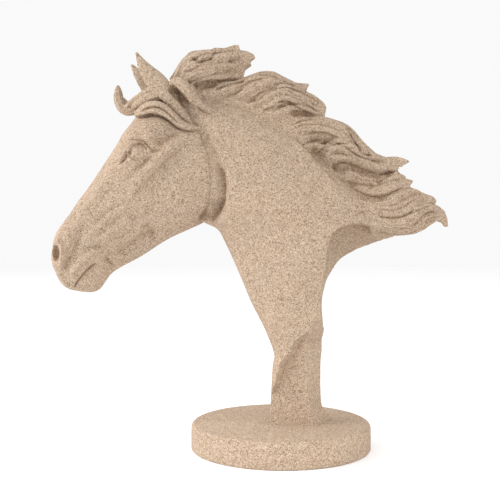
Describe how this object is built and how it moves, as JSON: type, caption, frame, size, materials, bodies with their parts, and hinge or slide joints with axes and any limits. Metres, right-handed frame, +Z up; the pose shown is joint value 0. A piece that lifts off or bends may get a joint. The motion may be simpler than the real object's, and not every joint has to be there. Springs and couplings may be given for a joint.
{
  "type": "horse head sculpture",
  "caption": "Horse head and neck sculpture with a streaming mane, cast with a short chiselled stem on a round base, in sand-coloured stone resin.",
  "frame": {"origin": "centre of the round base's underside", "axes": "+Z up, out of the base's underside towards the ears; -X the way the horse looks; the sculpture stands in the X-Z plane, with its left side facing -Y"},
  "size_m": [0.2965, 0.134, 0.2991],
  "materials": {
    "sandstone_resin": "matte sandstone-look cast resin with fine brown and cream specks"
  },
  "bodies": {
    "root": {"horse_head_sculpture": "sandstone_resin"}
  },
  "joints": []
}
